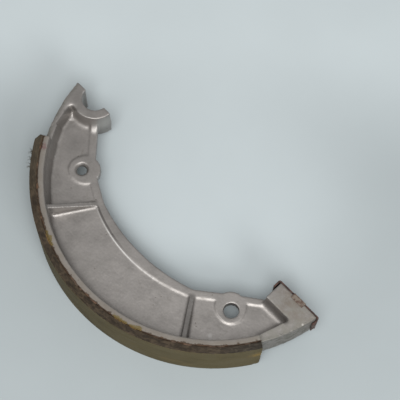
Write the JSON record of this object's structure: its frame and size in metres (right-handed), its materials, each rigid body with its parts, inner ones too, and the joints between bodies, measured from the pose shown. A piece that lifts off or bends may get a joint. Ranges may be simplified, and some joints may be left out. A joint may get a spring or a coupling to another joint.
{
  "type": "brake shoe",
  "caption": "Die-cast aluminium drum brake shoe with a bonded friction lining, a half-round pivot end, a cam pad with a steel wear plate, cross ribs and return-spring holes.",
  "frame": {"origin": "on the axis of the anchor pin that the shoe turns on, in the shoe's middle plane; the drum's axis is at x = 0.072, y = 0.0132", "axes": "+Z along the anchor pin and the drum's axis, away from the side the shoe lies on; +X from the pivot end to the cam end, along the line where two shoes meet; +Y from the lining towards the hub"},
  "size_m": [0.1707, 0.0768, 0.03],
  "materials": {
    "cast_aluminium": "as cast, oxidised",
    "lining": "moulded friction material, matt",
    "adhesive": "cured amber adhesive",
    "worn_steel": "rusty"
  },
  "bodies": {
    "root": {"shoe_casting": "cast_aluminium", "friction_lining": "lining", "bond_adhesive": "adhesive", "cam_wear_plate": "worn_steel"}
  },
  "joints": []
}
